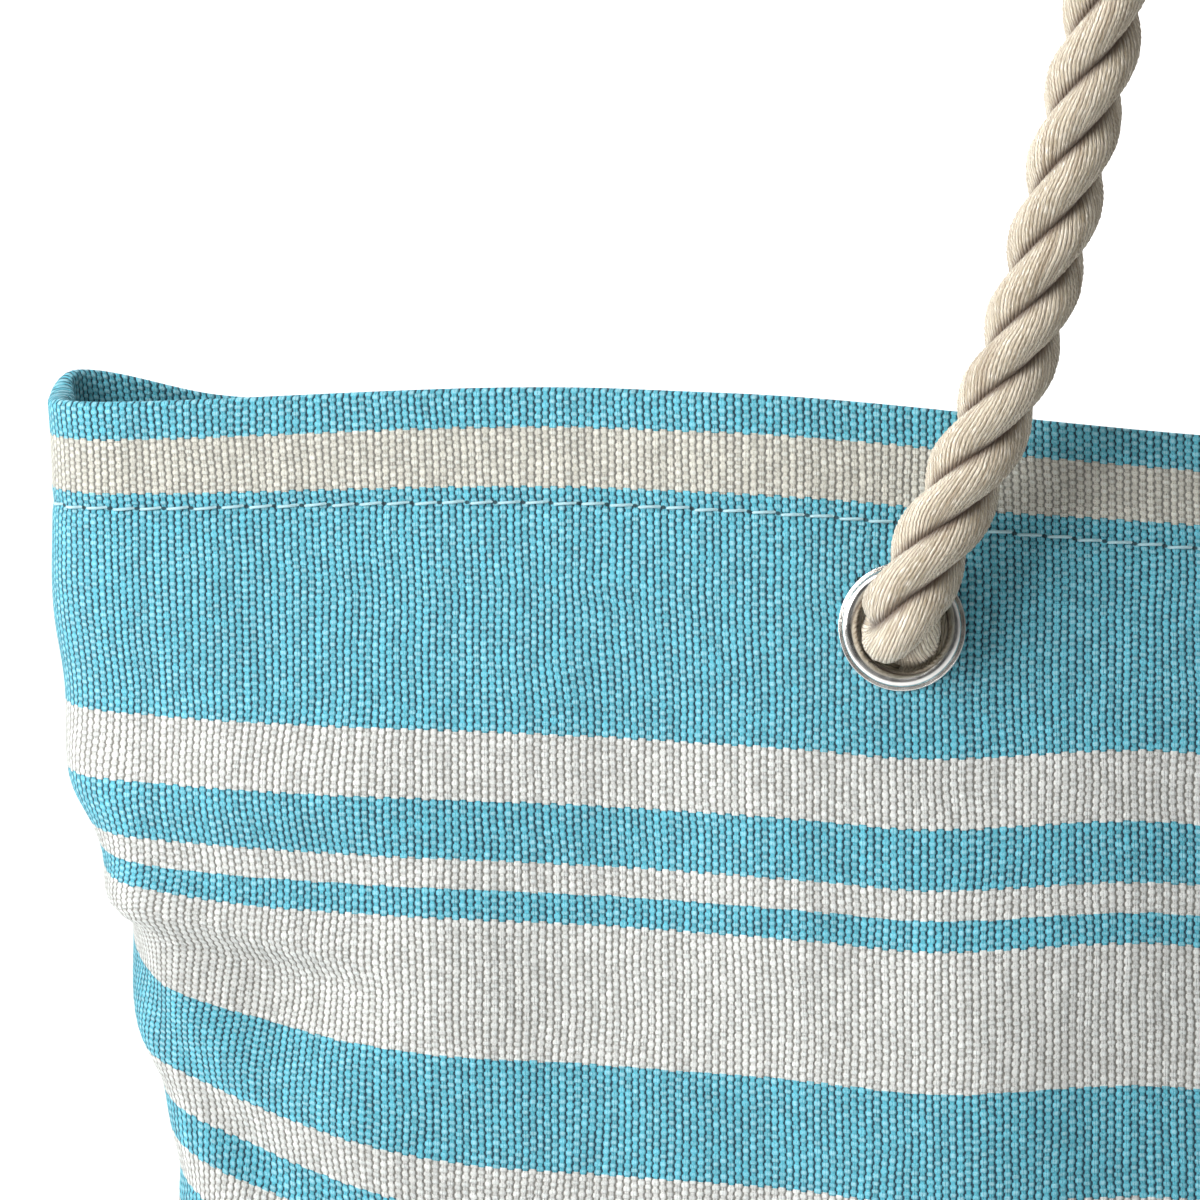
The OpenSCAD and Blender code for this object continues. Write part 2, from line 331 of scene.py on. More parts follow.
def hump(away, high, wide):
    """A smooth hump round 0, that is 1/e as high at its half width."""
    return high * np.exp(-((away / wide) ** 2))


def folds(u, s, d, side):
    """The creases beside the side seams, and the wall's broad waves."""
    out = np.zeros((len(d), len(u)))
    for hand in (LEFT, RIGHT):
        mine = (np.sign(u) == hand)[None, :]
        a = -side["out"] * s
        for across, down, deep, wide, bulge in CREASES[hand]:
            out += mine * crease(a, d, (across, down), deep, wide, bulge)
    calm = ramp(s / 45) * ramp((d - 12) / 110) * ramp((BAG_H - d) / 60)
    for across, down, start, height in WAVES[side["name"]]:
        out += calm * height * np.sin(math.tau * (u[None, :] / across + d / down) + start)
    return out


def relief(u, depth, side):
    """How far the cloth stands out of the plain wall, in folds, puckers and seams."""
    s = HALF_W - np.abs(u)[None, :]
    d = depth[:, None]
    away = np.hypot(np.abs(u)[None, :] - EYELET_U, d - EYELET_DEPTH)
    out = folds(u, s, d, side) * ramp((BAG_H - d) / 25) * ramp((away - EYELET_R - 1) / 30)
    stitch = 0.75 + 0.25 * np.cos(math.tau * u[None, :] / STITCH_PITCH)
    out -= stitch * hump(d - STITCH_DEPTH, *HEM_LINE)
    rim = np.sin(u[None, :] / 23 + 1.1) + 0.6 * np.sin(u[None, :] / 11.3)
    out += rim * hump(d, RIM_WAVE, HEM_H - 1) * ramp(s / 30)
    out -= hump(s, *SEAM_LINE) * ramp((d - 1) / 6)
    return out - hump(BAG_H - d, *FOOT_LINE)


def gain(across, down, reach, fade, start, growth):
    """A share that fades out across the cloth up to a reach, and grows down it from a start."""
    return ramp((reach - across) / fade) * ramp((down - start) / growth)


def down_the_cloth(u, depth, side):
    """Distance down the cloth from the rim to each point, with what the creases take up."""
    even = np.arange(0, BAG_H + 1, 2.0)
    steps = np.linalg.norm(np.diff(wall_points(u, even, side), axis=0), axis=2)
    length = np.vstack([np.zeros(len(u)), np.cumsum(steps, axis=0)])
    plain = np.stack([np.interp(depth, even, column) for column in length.T], axis=1)
    s = HALF_W - np.abs(u)[None, :]
    most = np.where(u < 0, RIDE_UP[LEFT], RIDE_UP[RIGHT])[None, :]
    d = depth[:, None]
    beside_seam = most * gain(s, d - 0.4 * s, reach=122, fade=173, start=84, growth=60)
    near_rim = SEAM_RISE * gain(s, d, reach=147, fade=170, start=-4, growth=84)
    middle = MIDDLE_RISE * gain(np.abs(u)[None, :], d, reach=95, fade=65, start=-6, growth=75)
    return plain + beside_seam + near_rim + middle


def cloth_at(u, depth, side, inset=0.0):
    """Points of the real, creased cloth at an inset from its outer face."""
    inset = np.asarray(inset, float)
    if inset.ndim < 2:
        inset = inset.reshape(-1, 1)
    out = relief(u, depth, side) - inset
    return wall_points(u, depth, side) + out[..., None] * wall_normals(u, depth, side)


def eyelet_place(side, hand):
    """Centre and outward axis of an eyelet."""
    u = np.array([hand * EYELET_U], float)
    depth = np.array([EYELET_DEPTH], float)
    along = wall_points(u + EYELET_R, depth, side) - wall_points(u - EYELET_R, depth, side)
    up = wall_points(u, depth - EYELET_R, side) - wall_points(u, depth + EYELET_R, side)
    axis = unit(side["out"] * np.cross(up, along))
    return wall_points(u, depth, side)[0, 0], axis[0, 0]


# --- Mesh making -----------------------------------------------------------------------


def make_mesh(name, points, faces, corner_uv):
    """A smooth mesh in metres with a UV map, its faces turned outwards."""
    points = np.asarray(points) * MM
    quads = np.array([f for f in faces if len(f) == 4])
    a, b, c, d = (points[quads[:, k]] for k in range(4))
    volume = np.sum(a * np.cross(b, c)) + np.sum(a * np.cross(c, d))
    if volume < 0:
        faces = [f[::-1] for f in faces]
        corner_uv = [uv[::-1] for uv in corner_uv]
    mesh = bpy.data.meshes.new(name)
    mesh.from_pydata(points.tolist(), [], faces)
    flat = np.array([p for uv in corner_uv for p in uv], np.float32)
    mesh.uv_layers.new(name="Weave").data.foreach_set("uv", flat.ravel())
    mesh.shade_smooth()
    obj = bpy.data.objects.new(name, mesh)
    bpy.context.scene.collection.objects.link(obj)
    return obj


def add_uv(obj, name, at_vertex):
    """One more UV map, from a pair of values for each vertex."""
    corner = np.empty(len(obj.data.loops), int)
    obj.data.loops.foreach_get("vertex_index", corner)
    uv = at_vertex[corner].astype(np.float32)
    obj.data.uv_layers.new(name=name).data.foreach_set("uv", uv.ravel())


def grid_mesh(name, grid, uv, loop_rows=False, loop_columns=False, skip=None, cap_ends=False):
    """A mesh over rows and columns of points. skip says which quads to leave out."""
    rows, columns = grid.shape[:2]
    index = np.arange(rows * columns).reshape(rows, columns)
    r = np.arange(rows if loop_rows else rows - 1)
    c = np.arange(columns if loop_columns else columns - 1)
    r, c = (m.ravel() for m in np.meshgrid(r, c, indexing="ij"))
    if skip is not None:
        keep = ~skip[r, c]
        r, c = r[keep], c[keep]
    r2, c2 = (r + 1) % rows, (c + 1) % columns
    faces = np.stack([index[r, c], index[r, c2], index[r2, c2], index[r2, c]], axis=1).tolist()
    flat_uv = uv.reshape(-1, 2)
    if cap_ends and loop_rows:
        faces += [index[:, 0].tolist(), index[::-1, -1].tolist()]
    if cap_ends and loop_columns:
        faces += [index[0].tolist(), index[-1, ::-1].tolist()]
    return make_mesh(name, grid.reshape(-1, 3), faces, [flat_uv[f] for f in faces])


def joined_grid(name, grids, uvs, **options):
    """Several equal grids as one mesh of separate bits."""
    objects = [grid_mesh(name, g, uv, **options) for g, uv in zip(grids, uvs)]
    first = objects[0]
    with bpy.context.temp_override(active_object=first, selected_editable_objects=objects):
        bpy.ops.object.join()
    return first


# --- Canvas ----------------------------------------------------------------------------


def eyelet_holes(u, depth):
    """Which quads of a wall's grid lie in the holes that its eyelets are set in."""
    across = np.abs((u[1:] + u[:-1]) / 2) - EYELET_U
    down = (depth + np.roll(depth, -1)) / 2 - EYELET_DEPTH
    return np.hypot(across[None, :], down[:, None]) < EYELET_HOLE_R


def canvas_profile():
    """Depth and inset of each row, up the outside and down the inside, and which rows turn inwards.

    Outside, the rows are closest together round the stitches.
    """
    outside = np.concatenate([
        np.linspace(BAG_H, 33, 138), np.linspace(32, 16, 17), np.linspace(14, CLOTH_T, 7),
    ])
    fold = np.radians(np.arange(20, 180, 20))
    hem = np.linspace(CLOTH_T, HEM_H, 14)
    inside = np.concatenate([[HEM_H + 0.8], np.linspace(HEM_H + 2, BAG_H, 84)])
    depth = np.concatenate([outside, CLOTH_T * (1 - np.sin(fold)), hem, [HEM_H + 0.5], inside])
    inset = np.concatenate([
        np.zeros(len(outside)), CLOTH_T * (1 - np.cos(fold)), np.full(len(hem), 2 * CLOTH_T),
        [1.8 * CLOTH_T], np.full(len(inside), CLOTH_T),
    ])
    row = np.arange(len(depth))
    turned = (row >= len(outside) + 4) & (row <= len(outside) + len(fold) + len(hem))
    return depth, inset, turned


def canvas_wall(side):
    """A side's canvas, its hem thicker at both ends, where the seam allowances lie in it."""
    u = np.linspace(-HALF_W, HALF_W, 241)
    depth, inset, turned = canvas_profile()
    allowance = 1 + hump(HALF_W - np.abs(u), 0.9, 9) * (depth < HEM_H + 1)[:, None]
    grid = cloth_at(u, depth, side, inset[:, None] * allowance)
    v = down_the_cloth(u, depth, side)
    v[turned] *= -1
    uv = np.stack([np.broadcast_to(u + side["out"] * WEAVE_SHIFT, v.shape), v], axis=2) * MM
    skip = eyelet_holes(u, depth)
    wall = grid_mesh(side["name"] + "_canvas", grid, uv, loop_rows=True, skip=skip, cap_ends=True)
    add_uv(wall, "Hem", np.stack(np.meshgrid(u, depth), axis=2).reshape(-1, 2) * MM)
    return wall


def lining_wall(side):
    u = np.linspace(-HALF_W, HALF_W, 201)
    down = np.linspace(BAG_H - 3, HEM_H + 2, 120)
    depth = np.concatenate([down, down[::-1]])
    inset = np.repeat([CLOTH_T + GAP, CLOTH_T + GAP + LINING_T], len(down))
    grid = cloth_at(u, depth, side, inset)
    uv = np.stack(np.meshgrid(u, depth), axis=2) * MM
    skip = eyelet_holes(u, depth)
    return grid_mesh(side["name"] + "_lining_cloth", grid, uv, loop_rows=True, skip=skip, cap_ends=True)


def base_sheet(name, low, high, inset):
    """The bag's flat base: shrinking copies of its outline, over and under."""
    u = np.linspace(-HALF_W, HALF_W, 161)
    foot = np.array([BAG_H], float)
    outline = np.concatenate([
        cloth_at(u, foot, FRONT, inset)[0], cloth_at(u, foot, BACK, inset)[0][-2:0:-1],
    ])
    grow = np.linspace(0.02, 1, 16)
    share = np.concatenate([grow, grow[::-1]])
    grid = outline[None] * share[:, None, None]
    grid[..., 2] = np.repeat([low, high], len(grow))[:, None]
    uv = np.stack([grid[..., 0], BAG_H + BASE_D / 2 + grid[..., 1]], axis=2) * MM
    return grid_mesh(name, grid, uv, loop_columns=True, cap_ends=True)


def hem_stitches(side):
    """A row of thread stitches through the hem, seen on both its faces."""
    count = int(2 * HALF_W / STITCH_PITCH) - 2
    starts = (np.arange(count) - count // 2) * STITCH_PITCH
    part = np.linspace(0, 1, 8)
    around = np.linspace(0, math.tau, 8, endpoint=False)
    row = np.array([STITCH_DEPTH])
    grids = []
    for face, inset in ((1, 0.0), (-1, 2 * CLOTH_T)):
        for k, start in enumerate(starts):
            u = start + STITCH_L * part
            centre = cloth_at(u, row, side, inset)[0]
            out = face * wall_normals(u, row, side)[0]
            along = unit(np.gradient(centre, axis=0))
            down = np.cross(along, out)
            lift = THREAD_ARCH * np.sin(math.pi * part) ** 0.5 - THREAD_SUNK
            slant = THREAD_SLANT * (0.5 - part) + 0.1 * math.sin(2.4 * k)
            centre = centre + lift[:, None] * out + slant[:, None] * down
            ring = np.cos(around)[None, :, None] * out[:, None]
            ring = ring + np.sin(around)[None, :, None] * down[:, None]
            grids.append(centre[:, None] + THREAD_R * ring)
    uv = np.stack(np.meshgrid(around, part), axis=2) * STITCH_L * MM
    return joined_grid(
        side["name"] + "_hem_stitching", grids, [uv] * len(grids), loop_columns=True, cap_ends=True
    )


# --- Eyelets ---------------------------------------------------------------------------

# Outlines turned round an eyelet's axis: distance from the axis, height above the cloth
EYELET_OUTLINE = [
    (BORE_R, WASHER_BACK), (BORE_R, -2.6), (BORE_R, -1.2), (9.75, -0.4), (9.86, 0.3), (10.0, 0.85),
    (10.2, 1.28), (10.48, 1.6), (10.85, 1.82), (11.25, 1.94), (11.65, 1.99), (12.05, 1.97),
    (12.42, 1.87), (12.74, 1.66), (12.98, 1.36), (13.13, 1.02), (13.22, 0.72), (13.3, 0.52),
    (13.42, 0.46), (13.52, 0.56), (13.62, 0.7), (13.78, 0.74), (13.92, 0.64), (EYELET_R, 0.42),
    (13.9, 0.12), (13.6, 0.02), (12.5, 0.0), (BORE_R + BARREL_T, 0.0), (BORE_R + BARREL_T, WASHER_BACK),
]
WASHER_OUTLINE = [
    (BORE_R + BARREL_T, WASHER_FRONT), (13.7, WASHER_FRONT), (13.95, WASHER_FRONT - 0.2),
    (EYELET_R, WASHER_FRONT - 0.5), (13.95, WASHER_BACK + 0.2), (13.7, WASHER_BACK),
    (12.6, WASHER_BACK - 0.12), (11.6, WASHER_BACK - 0.1), (BORE_R + BARREL_T, WASHER_BACK),
]


def lathe(name, outline, side, hand):
    """An outline turned round an eyelet's axis."""
    centre, axis = eyelet_place(side, hand)
    across = unit(np.cross([0, 0, 1], axis))
    up = np.cross(axis, across)
    turn = np.linspace(0, math.tau, 128, endpoint=False)
    spoke = np.cos(turn)[:, None] * across + np.sin(turn)[:, None] * up
    grid = np.array([centre + h * axis + r * spoke for r, h in outline])
    uv = np.stack(np.meshgrid(turn, [r for r, h in outline]), axis=2)
    return grid_mesh(name, grid, uv, loop_rows=True, loop_columns=True)


# --- Rope ------------------------------------------------------------------------------


def fillet(a, corner, b, radius):
    """Points of the round bend that takes the place of a corner."""
    t0, t1 = unit(corner - a), unit(b - corner)
    turn = math.acos(float(np.clip(np.dot(t0, t1), -1, 1)))
    reach = radius * math.tan(turn / 2)
    start = corner - reach * t0
    inward = unit(t1 - np.dot(t1, t0) * t0)
    angles = np.linspace(0, turn, 9)[:, None]
    return start + radius * (np.sin(angles) * t0 + (1 - np.cos(angles)) * inward)


def spline(points, spacing):
    """A smooth line through points, with points at an even spacing."""
    points = np.asarray(points, float)
    chord = np.linalg.norm(np.diff(points, axis=0), axis=1)
    at = np.concatenate([[0], np.cumsum(chord)])
    slope = np.gradient(points, at, axis=0)
    t = np.linspace(0, at[-1], int(at[-1] / 0.5) + 2)
    k = np.clip(np.searchsorted(at, t, side="right") - 1, 0, len(chord) - 1)
    h = chord[k][:, None]
    x = (t - at[k])[:, None] / h
    line = (
        (1 + 2 * x) * (1 - x) ** 2 * points[k] + x * (1 - x) ** 2 * h * slope[k]
        + x * x * (3 - 2 * x) * points[k + 1] + x * x * (x - 1) * h * slope[k + 1]
    )
    length = np.concatenate([[0], np.cumsum(np.linalg.norm(np.diff(line, axis=0), axis=1))])
    even = np.linspace(0, length[-1], int(round(length[-1] / spacing)) + 1)
    return np.stack([np.interp(even, length, part) for part in line.T], axis=1)


def length_of(line):
    return float(np.sum(np.linalg.norm(np.diff(line, axis=0), axis=1)))


def frames_along(line):
    """Two directions square to a line at each of its points, that don't turn about it."""
    tangent = unit(np.gradient(line, axis=0))
    a = unit(np.cross(tangent[0], [0.3, 0.9, 0.2]))
    first = []
    for t in tangent:
        a = unit(a - np.dot(a, t) * t)
        first.append(a)
    first = np.array(first)
    return first, np.cross(tangent, first)


def groove_r():
    """Distance from the rope's axis to the groove between two strands."""
    half = math.pi / STRANDS
    return STRAND_OUT * math.cos(half) + math.sqrt(STRAND_R**2 - (STRAND_OUT * math.sin(half)) ** 2)


def yarn_ridges(yarn):
    """How far each point of a strand stands out, where yarn counts the yarns round the strand."""
    own = np.abs(np.sin(math.pi * yarn)) ** 0.7 - 0.6
    uneven = np.sin(0.37 * math.tau * yarn + 0.9 * np.sin(0.13 * math.tau * yarn))
    return YARN_H * (own + uneven)


def rope_mesh(name, line, detail, turn=0.0, thick=1.0, frayed=False):
    """Three strands of yarns laid round each other along a line. Each strand shows its outer side."""
    edge = math.acos((0.5 * groove_r() - STRAND_OUT) / STRAND_R)
    phi = np.linspace(-edge, edge, detail + 1)
    t = np.linspace(0, length_of(line), len(line))
    yarn = YARNS * (phi[None, :] / math.tau + t[:, None] / YARN_LAY)
    ridge = yarn_ridges(yarn) * ramp((edge - np.abs(phi)) / 0.35)[None, :]
    swell = np.ones_like(t)
    if frayed:
        swell = 1 + FRAY * ramp((t - t[-1] + FRAY_L) / FRAY_L)
    a, b = frames_along(line)
    x = STRAND_OUT + (STRAND_R + ridge) * np.cos(phi)
    y = (STRAND_R + ridge) * np.sin(phi)
    strips = []
    for k in range(STRANDS):
        lay = math.tau * (t / LAY + k / STRANDS) + turn
        angle = lay[:, None] + np.arctan2(y, x)
        r = np.hypot(x, y) * thick * swell[:, None]
        out = np.cos(angle)[..., None] * a[:, None] + np.sin(angle)[..., None] * b[:, None]
        strips.append(line[:, None] + r[..., None] * out)
    grid = np.concatenate([s[:, :-1] for s in strips], axis=1)
    rows, columns = grid.shape[:2]
    r, c = (m.ravel() for m in np.meshgrid(np.arange(rows - 1), np.arange(columns), indexing="ij"))
    c2 = (c + 1) % columns
    this, above = r * columns, (r + 1) * columns
    faces = np.stack([this + c, this + c2, above + c2, above + c], axis=1)
    local = c % detail
    uv = np.stack([
        np.stack([yarn[i, j] + 40 * (c // detail), t[i]], axis=1)
        for i, j in ((r, local), (r, local + 1), (r + 1, local + 1), (r + 1, local))
    ], axis=1)
    ends = [list(range(columns)), list(range(rows * columns - 1, (rows - 1) * columns - 1, -1))]
    end_uv = [np.zeros((columns, 2))] * 2
    rope = make_mesh(name, grid.reshape(-1, 3), faces.tolist() + ends, list(uv) + end_uv)
    # The Groove map holds each point's share of the way from its strand's middle to its edge; the rope's
    # material paints shade by it
    from_middle = np.tile(np.abs(phi[:-1]) / edge, STRANDS * rows)
    add_uv(rope, "Groove", np.stack([from_middle, from_middle], axis=1))
    return rope


def handle_route(side, route):
    """A handle's centreline, from behind its left eyelet to behind its right one."""
    handle = side["name"] + "_handle"
    joint_y = next(j["pos_m"][1] for j in frame["joints"] if j["child"] == handle) / MM
    centre, axis = eyelet_place(side, LEFT)
    hinge = centre + axis * (joint_y - centre[1]) / axis[1]
    stretch = -hinge[0] / route[-1][0]
    half = [hinge + np.array([stretch * x, side["out"] * out, up]) for x, up, out in route]
    inside = centre - 5 * axis
    half = [inside, centre - axis, *fillet(inside, half[0], half[1], BEND_R), *half[1:]]
    mirror = [p * [-1, 1, 1] for p in half[-2::-1]]
    return np.array(half + mirror)


def knot_line(side, hand):
    """An overhand knot pulled tight behind an eyelet, with its tail hanging down."""
    centre, axis = eyelet_place(side, hand)
    across = unit(np.cross([0, 0, 1], axis)) * hand
    up = np.cross(axis, across) * hand
    middle = centre + KNOT_MID * axis
    t = np.linspace(math.pi / 3 + 0.35, math.pi / 3 + math.tau - 0.35, 26)[:, None]
    loops = KNOT_LOOP * (
        (np.sin(t) + 2 * np.sin(2 * t)) * across
        + (np.cos(t) - 2 * np.cos(2 * t)) * up
        + 1.3 * np.sin(3 * t) * axis
    )
    tail = [middle + np.array([0, 0, -z]) for z in (26, 34, TAIL_L)]
    return spline([centre - 3 * axis, centre - 9 * axis, *(middle + loops), *tail], KNOT_STEP)


def make_knot(side, word):
    name = f"{side['name']}_{word}"
    line = knot_line(side, HANDS[word])
    knot = rope_mesh(name + "_knot", line, KNOT_DETAIL, thick=KNOT_THICK, frayed=True)
    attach(knot, "root")
    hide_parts(name + "_rope_end")
    return knot


def make_rope(side, route):
    """A handle's rope, which bends at its hinge, and the knots behind its eyelets."""
    name = side["name"]
    line = spline(handle_route(side, route), ROPE_STEP)
    rope = rope_mesh(name + "_rope", line, ROPE_DETAIL, turn=side["turn"])
    knots = [make_knot(side, word) for word in HANDS]
    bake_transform(rope)
    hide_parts(name + "_handle")
    return [rope, *knots]


# --- Materials -------------------------------------------------------------------------


class Graph:
    """A material's node graph, and short calls to add to it."""

    def __init__(self, name):
        self.material = bpy.data.materials.new(name)
        self.material.use_nodes = True
        self.tree = self.material.node_tree
        self.surface = self.tree.nodes["Principled BSDF"]

    def node(self, kind, inputs, **settings):
        n = self.tree.nodes.new("ShaderNode" + kind)
        for key, value in settings.items():
            setattr(n, key, value)
        for key, value in inputs.items():
            self.put(n.inputs[key], value)
        return n

    def put(self, socket, value):
        if isinstance(value, bpy.types.NodeSocket):
            self.tree.links.new(value, socket)
        else:
            socket.default_value = value

    def calc(self, operation, a, b=0.0, clamp=False):
        return self.node("Math", {0: a, 1: b}, operation=operation, use_clamp=clamp).outputs[0]

    def plus(self, a, b):
        return self.calc("ADD", a, b)

    def minus(self, a, b, clamp=False):
        return self.calc("SUBTRACT", a, b, clamp)

    def times(self, a, b):
        return self.calc("MULTIPLY", a, b)

    def over(self, a, b):
        return self.calc("DIVIDE", a, b)

    def blend(self, share, a, b, kind="MIX"):
        inputs = {0: share, 6: a, 7: b}
        return self.node("Mix", inputs, data_type="RGBA", blend_type=kind).outputs[2]

    def spread(self, value, low, high, to_low=0.0, to_high=1.0):
        """A smooth step from to_low to to_high, as value goes from low to high."""
        inputs = {0: value, 1: low, 2: high, 3: to_low, 4: to_high}
        return self.node("MapRange", inputs, interpolation_type="SMOOTHSTEP").outputs[0]

    def noise(self, where, scale, detail=2.0):
        inputs = {"Vector": where, "Scale": scale, "Detail": detail}
        return self.node("TexNoise", inputs).outputs["Fac"]

    def uv(self, name):
        """A UV map's vector, and its two parts."""
        uv = self.node("UVMap", {}, uv_map=name).outputs[0]
        parts = self.node("SeparateXYZ", {0: uv})
        return uv, parts.outputs[0], parts.outputs[1]

    def luck(self, where, **settings):
        """A chance number, the same over all of a thread, yarn or float."""
        return self.node("TexWhiteNoise", where, **settings)

    def vector(self, x, y, z=0.0):
        return self.node("CombineXYZ", {0: x, 1: y, 2: z}).outputs[0]

    def bump(self, height, distance, strength=1.0):
        inputs = {"Height": height, "Distance": distance, "Strength": strength}
        self.put(self.surface.inputs["Normal"], self.node("Bump", inputs).outputs[0])

    def finish(self, color, **values):
        self.put(self.surface.inputs["Base Color"], color)
        for key, value in values.items():
            self.put(self.surface.inputs[key.replace("_", " ")], value)
        return self.material


# Spacing of the lining's threads in metres, and the canvas's colours, painted shade and highlight among
# them
LINING_THREAD = 0.0006
BLUE = (0.085, 0.435, 0.555, 1)
BLUE_GAP_SHADE = (0.0005, 0.028, 0.055, 1)
WHITE = (0.62, 0.625, 0.60, 1)
WHITE_GAP_SHADE = (0.22, 0.215, 0.19, 1)
CREAM = (0.55, 0.535, 0.465, 1)
CREST_HIGHLIGHT = (0.86, 0.95, 0.96, 1)
HOLE_SHADE = (0.002, 0.02, 0.03, 1)


def stripe_mask(g, down):
    """0 on blue stripes and 1 on white ones, by the distance down the cloth in metres."""
    reach = STRIPES[-1] * MM
    n = g.node("ValToRGB", {0: g.over(down, reach)})
    n.color_ramp.interpolation = "CONSTANT"
    stops = n.color_ramp.elements
    stops.remove(stops[1])
    stops[0].color = (0, 0, 0, 1)
    for k, edge in enumerate(STRIPES[:-1]):
        value = 1.0 - k % 2
        stops.new(edge * MM / reach).color = (value, value, value, 1)
    return n.outputs[0]


def needle_holes(g):
    """Nearly 1 where the hem's thread goes into the cloth, and 0 elsewhere."""
    u, v = g.uv("Hem")[1:]
    at = g.over(g.minus(u, HOLE_U * MM), STITCH_PITCH * MM)
    away = g.times(g.minus(g.calc("FRACT", at), 0.5), STITCH_PITCH / HOLE_HALF_W)
    below = g.over(g.minus(v, STITCH_DEPTH * MM), HOLE_HALF_H * MM)
    reach = g.plus(g.times(away, away), g.times(below, below))
    return g.spread(reach, 0.25, 0.9, 0.92, 0.0)


def thread_height(g, x, y, luck, fibre):
    """Height of the weave at x across a column and y along a float, both from -0.5 to 0.5."""
    wide = g.calc("ABSOLUTE", g.over(x, g.spread(luck[0], 0, 1, 0.47, 0.55)))
    tall = g.calc("ABSOLUTE", g.over(y, g.spread(luck[1], 0, 1, 0.36, 0.43)))
    round_off = g.plus(g.calc("POWER", wide, 2.6), g.calc("POWER", tall, 3.0))
    knob = g.calc("POWER", g.minus(1.0, round_off, clamp=True), 0.5)
    spine = g.calc("ABSOLUTE", g.over(x, 0.35))
    neck = g.minus(1.0, g.times(spine, spine), clamp=True)
    neck = g.times(g.calc("POWER", neck, 0.5), 0.72)
    pair = g.minus(1.0, g.calc("ABSOLUTE", g.over(x, 0.10)), clamp=True)
    knob = g.minus(knob, g.times(pair, g.spread(luck[0], 0, 1, 0.0, 0.22)))
    neck = g.minus(neck, g.times(pair, g.spread(luck[2], 0, 1, 0.05, 0.4)))
    height = g.calc("MAXIMUM", knob, neck)
    height = g.times(height, g.spread(luck[2], 0, 1, 0.92, 1.08))
    return g.plus(height, g.times(g.minus(fibre, 0.5), 0.55))


def canvas_material():
    """Basket-woven cotton: columns of paired threads, rounded where they float over cross threads."""
    g = Graph("striped_canvas")
    uv, u, v = g.uv("Weave")
    sway = g.times(g.minus(g.noise(uv, 38), 0.5), 0.0022)
    across = g.over(g.plus(u, sway), COLUMN_W * MM)
    column = g.calc("FLOOR", across)
    x = g.minus(g.calc("FRACT", across), 0.5)
    own = g.luck({"W": column}, noise_dimensions="1D").outputs["Value"]
    shift = g.times(g.calc("FLOORED_MODULO", column, 2.0), 0.5)
    shift = g.plus(shift, g.times(own, 0.3))
    lean = g.times(g.minus(g.noise(uv, 90), 0.5), 0.0007)
    along = g.plus(g.over(g.plus(v, lean), FLOAT_H * MM), shift)
    row = g.calc("FLOOR", along)
    y = g.minus(g.calc("FRACT", along), 0.5)
    chance = g.luck({"Vector": g.vector(column, row)}, noise_dimensions="2D").outputs["Color"]
    luck = g.node("SeparateColor", {0: chance}).outputs
    fibre = g.noise(g.vector(g.times(u, 2.2), v), 2600, 3.0)
    height = thread_height(g, x, y, luck, fibre)

    at_float = g.times(g.minus(g.plus(row, 0.5), shift), FLOAT_H * MM)
    white = stripe_mask(g, g.plus(g.times(at_float, 0.35), g.times(v, 0.65)))
    in_cream = g.spread(v, CREAM_END * MM, (CREAM_END + 2) * MM, 1, 0)
    yarn = g.blend(white, BLUE, g.blend(in_cream, WHITE, CREAM))
    # Painted shade between the threads: near-black colours for the low parts of the weave
    gap_shade = g.blend(white, BLUE_GAP_SHADE, WHITE_GAP_SHADE)
    tone = g.spread(g.plus(g.times(luck[1], 0.3), fibre), 0.2, 1.1, 0.74, 1.22)
    cloud = g.spread(g.noise(uv, 14, 3.0), 0.3, 0.7, 0.95, 1.04)
    tone = g.times(g.times(tone, g.spread(own, 0, 1, 0.93, 1.05)), cloud)
    grey = g.node("CombineColor", {0: tone, 1: tone, 2: tone}).outputs[0]
    yarn = g.blend(1.0, yarn, grey, "MULTIPLY")
    # Painted highlight: the highest parts of each float are blended towards a pale blue-white
    highlit_yarn = g.blend(g.spread(height, 0.7, 1.15, 0, 0.30), yarn, CREST_HIGHLIGHT)
    # Painted shade: where the weave is low, between threads, the colour goes to the dark gap shade
    color = g.blend(g.spread(height, 0.02, 0.68), gap_shade, highlit_yarn)
    # Painted shade: the needle holes, which the cloth's mesh doesn't have, are darkened to near black
    color = g.blend(needle_holes(g), color, HOLE_SHADE)
    g.bump(height, 0.00085, 1.0)
    return g.finish(color, Roughness=g.spread(fibre, 0.3, 0.7, 0.78, 0.92), Sheen_Weight=0.05)


def lining_material():
    """Fine plain-woven cotton."""
    g = Graph("lining")
    uv, u, v = g.uv("Weave")
    warp = g.calc("ABSOLUTE", g.calc("SINE", g.times(u, math.pi / LINING_THREAD)))
    weft = g.calc("ABSOLUTE", g.calc("SINE", g.times(v, math.pi / LINING_THREAD)))
    height = g.times(warp, weft)
    cloud = g.spread(g.noise(uv, 30, 4.0), 0.3, 0.7)
    color = g.blend(cloud, (0.80, 0.78, 0.72, 1), (0.88, 0.87, 0.83, 1))
    # Painted shade: the lining's colour darkens between its threads, where the weave is low
    color = g.blend(g.spread(height, 0.0, 0.5), (0.60, 0.58, 0.52, 1), color)
    g.bump(height, 0.00012)
    return g.finish(color, Roughness=0.9, Sheen_Weight=0.1)


